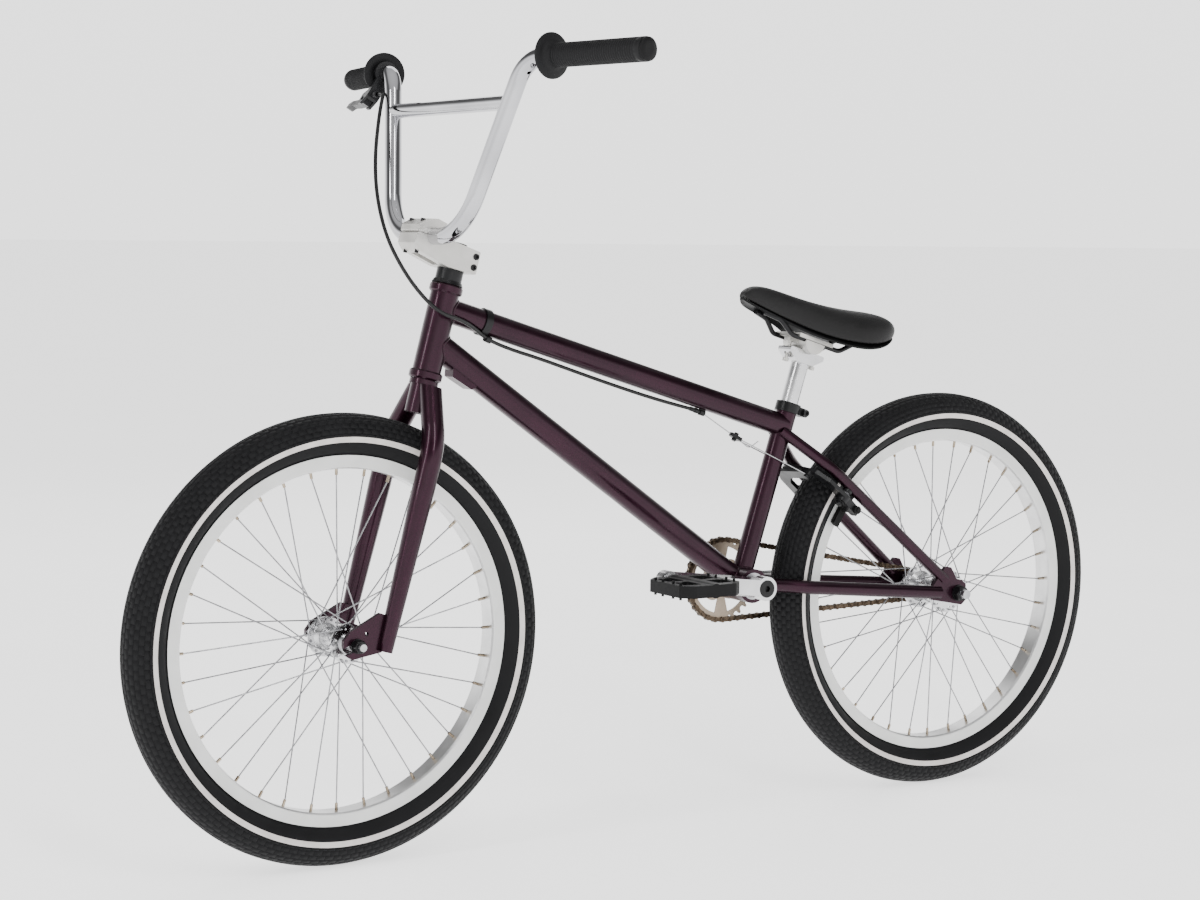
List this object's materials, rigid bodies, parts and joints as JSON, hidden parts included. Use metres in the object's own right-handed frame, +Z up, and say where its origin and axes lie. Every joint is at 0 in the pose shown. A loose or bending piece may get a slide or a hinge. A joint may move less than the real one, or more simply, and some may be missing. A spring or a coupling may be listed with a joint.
{
  "type": "bmx bike",
  "caption": "BMX bike with a plum metallic frame, high chrome handlebar with crossbar, rear brake, platform pedals and white sided rims",
  "frame": {"origin": "on the ground, midway between the two wheel axles, on the bike's mid plane", "axes": "+X points forward towards the front wheel, +Y to the bike's left, +Z up"},
  "size_m": [1.5384, 0.7538, 1.0365],
  "materials": {
    "frame_paint": "plum metallic gloss paint",
    "black_metal": "black anodised and painted metal",
    "bare_steel": "bare and zinc plated steel",
    "chain_steel": "bronze coloured chain and sprocket steel",
    "polished_alloy": "polished aluminium",
    "chrome_bar": "bright chrome plate",
    "rim_white": "white painted rim sides with a bare inner face",
    "tyre_rubber": "black tyre rubber with a thin white line",
    "soft_rubber": "soft black rubber and cable housing",
    "black_plastic": "matt black moulded plastic",
    "saddle_leather": "black stitched cover with a matt grain"
  },
  "bodies": {
    "frame": {"head_tube": "frame_paint", "top_tube": "frame_paint", "down_tube": "frame_paint", "seat_tube": "frame_paint", "bottom_bracket_shell": "frame_paint", "chain_stays": "frame_paint", "seat_stays": "frame_paint", "rear_dropouts": "frame_paint", "brake_bosses": "black_metal", "frame_bearings": "bare_steel", "rear_axle": "bare_steel", "rear_axle_nuts": "black_metal", "seat_clamp": "black_metal", "cable_fittings": "black_metal", "brake_cable_housing": "soft_rubber", "chain": "chain_steel", "brake_springs": "bare_steel"},
    "fork_assembly": {"fork_steerer": "frame_paint", "fork_legs": "frame_paint", "headset_spacers": "black_metal", "stem_body": "polished_alloy", "stem_cap": "polished_alloy", "stem_bolts": "black_metal", "handlebar": "chrome_bar", "left_grip": "soft_rubber", "right_grip": "soft_rubber", "brake_lever_bracket": "black_metal", "front_axle": "bare_steel", "front_axle_nuts": "black_metal"},
    "front_wheel": {"front_tyre": "tyre_rubber", "front_inner_tube": "soft_rubber", "front_rim": "rim_white", "front_spokes": "bare_steel", "front_hub": "polished_alloy"},
    "rear_wheel": {"rear_tyre": "tyre_rubber", "rear_inner_tube": "soft_rubber", "rear_rim": "rim_white", "rear_spokes": "bare_steel", "rear_hub": "polished_alloy"},
    "crankset": {"crank_spindle": "bare_steel", "left_crank_arm": "polished_alloy", "right_crank_arm": "polished_alloy", "sprocket": "chain_steel", "crank_bolts": "black_metal", "pedal_axles": "bare_steel"},
    "driver": {"driver_cog": "bare_steel"},
    "left_pedal_body": {"left_pedal": "black_plastic"},
    "right_pedal_body": {"right_pedal": "black_plastic"},
    "lever": {"brake_lever": "black_metal"},
    "left_arm": {"left_brake_arm": "black_metal", "left_brake_pad": "soft_rubber"},
    "right_arm": {"right_brake_arm": "black_metal", "right_brake_pad": "soft_rubber"},
    "hanger": {"cable_hanger": "black_metal", "brake_wires": "bare_steel"},
    "post": {"seat_post": "polished_alloy"},
    "saddle": {"saddle_clamp": "polished_alloy", "saddle_rails": "black_metal", "saddle_base": "black_plastic", "saddle_cover": "saddle_leather"}
  },
  "joints": [
    {"name": "steering", "type": "hinge", "parent": "frame", "child": "fork_assembly", "pos_m": [0.34313, 0, 0.67204], "axis": [-0.2588, 0, 0.9659], "range_deg": [-90, 90], "deforming": ["brake_cable_housing"]},
    {"name": "front_wheel_spin", "type": "hinge", "parent": "fork_assembly", "child": "front_wheel", "pos_m": [0.48325, 0, 0.286], "axis": [0, 1, 0], "continuous": true},
    {"name": "rear_wheel_spin", "type": "hinge", "parent": "frame", "child": "rear_wheel", "pos_m": [-0.48325, 0, 0.286], "axis": [0, 1, 0], "continuous": true},
    {"name": "crank_spin", "type": "hinge", "parent": "frame", "child": "crankset", "pos_m": [-0.1372, 0, 0.316], "axis": [0, 1, 0], "continuous": true, "deforming": ["chain"]},
    {"name": "driver_spin", "type": "hinge", "parent": "frame", "child": "driver", "pos_m": [-0.48325, 0, 0.286], "axis": [0, 1, 0], "continuous": true},
    {"name": "left_pedal_spin", "type": "hinge", "parent": "crankset", "child": "left_pedal_body", "pos_m": [0.03313, 0.137, 0.33994], "axis": [0, 1, 0], "continuous": true},
    {"name": "right_pedal_spin", "type": "hinge", "parent": "crankset", "child": "right_pedal_body", "pos_m": [-0.30753, -0.137, 0.29206], "axis": [0, 1, 0], "continuous": true},
    {"name": "lever_pull", "type": "hinge", "parent": "fork_assembly", "child": "lever", "pos_m": [0.32752, -0.2214, 0.97115], "axis": [-0.8291, 0.1782, -0.5299], "range_deg": [0, 16], "stiffness_Nm_per_rad": 0.3},
    {"name": "hanger_slide", "type": "slide", "parent": "frame", "child": "hanger", "axis": [0.8488, 0, 0.5287], "range_m": [0, 0.0047], "deforming": ["brake_wires"]},
    {"name": "left_arm_swing", "type": "hinge", "parent": "frame", "child": "left_arm", "pos_m": [-0.28223, 0.047, 0.4355], "axis": [0.6468, 0, -0.7627], "range_deg": [-3.3, 0]},
    {"name": "right_arm_swing", "type": "hinge", "parent": "frame", "child": "right_arm", "pos_m": [-0.28223, -0.047, 0.4355], "axis": [0.6468, 0, -0.7627], "range_deg": [0, 3.3]},
    {"name": "post_height", "type": "slide", "parent": "frame", "child": "post", "axis": [-0.3123, 0, 0.95], "range_m": [-0.03, 0.02]},
    {"name": "saddle_tilt", "type": "hinge", "parent": "post", "child": "saddle", "pos_m": [-0.2435, 0, 0.6495], "axis": [0, 1, 0], "range_deg": [-3, 3]}
  ],
  "couplings": [
    {"joint": "driver_spin", "follows": "crank_spin", "ratio": 2.8},
    {"joint": "hanger_slide", "follows": "lever_pull", "m_per_rad": 0.016473},
    {"joint": "left_arm_swing", "follows": "lever_pull", "ratio": -0.2},
    {"joint": "right_arm_swing", "follows": "lever_pull", "ratio": 0.2}
  ]
}
